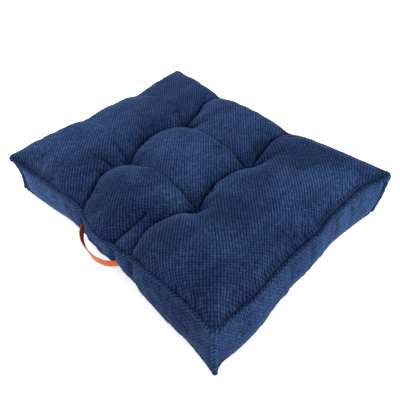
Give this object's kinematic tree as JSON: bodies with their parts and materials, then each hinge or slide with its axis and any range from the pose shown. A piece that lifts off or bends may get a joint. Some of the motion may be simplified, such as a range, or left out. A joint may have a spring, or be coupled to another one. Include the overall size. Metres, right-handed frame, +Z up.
{
  "type": "floor cushion",
  "caption": "Rectangular boxed floor cushion in navy waffle velour, tufted through, with overcast raised seams and a leather carrying strap on one long side.",
  "frame": {"origin": "middle of the flat underside that the cushion rests on", "axes": "+Z up, +X along the long side that carries the strap, -Y out of that side"},
  "size_m": [0.7034, 0.5685, 0.142],
  "materials": {
    "cover_fabric": "matte",
    "seam_edge": "matte",
    "seam_thread": "satin",
    "filling": "matte",
    "tuft_twine": "satin",
    "strap_leather": "satin",
    "strap_thread": "satin"
  },
  "bodies": {
    "cushion": {"top_panel": "cover_fabric", "bottom_panel": "cover_fabric", "boxing_front": "cover_fabric", "boxing_back": "cover_fabric", "boxing_left": "cover_fabric", "boxing_right": "cover_fabric", "top_seam_ridge": "seam_edge", "bottom_seam_ridge": "seam_edge", "corner_ridge_front_left": "seam_edge", "corner_ridge_front_right": "seam_edge", "corner_ridge_back_left": "seam_edge", "corner_ridge_back_right": "seam_edge", "top_seam_thread": "seam_thread", "bottom_seam_thread": "seam_thread", "corner_thread_front_left": "seam_thread", "corner_thread_front_right": "seam_thread", "corner_thread_back_left": "seam_thread", "corner_thread_back_right": "seam_thread", "fibre_filling": "filling", "tuft_twine_front_left": "tuft_twine", "tuft_twine_front_right": "tuft_twine", "tuft_twine_back_left": "tuft_twine", "tuft_twine_back_right": "tuft_twine", "strap_end_left": "strap_leather", "strap_end_right": "strap_leather", "strap_tack_left": "strap_thread", "strap_tack_right": "strap_thread"},
    "handle": {"handle_strap": "strap_leather"}
  },
  "joints": [
    {"name": "handle_swing", "type": "hinge", "parent": "cushion", "child": "handle", "pos_m": [-0.016, -0.26168, 0.05], "axis": [-1, 0, 0], "range_deg": [-35, 85]}
  ]
}
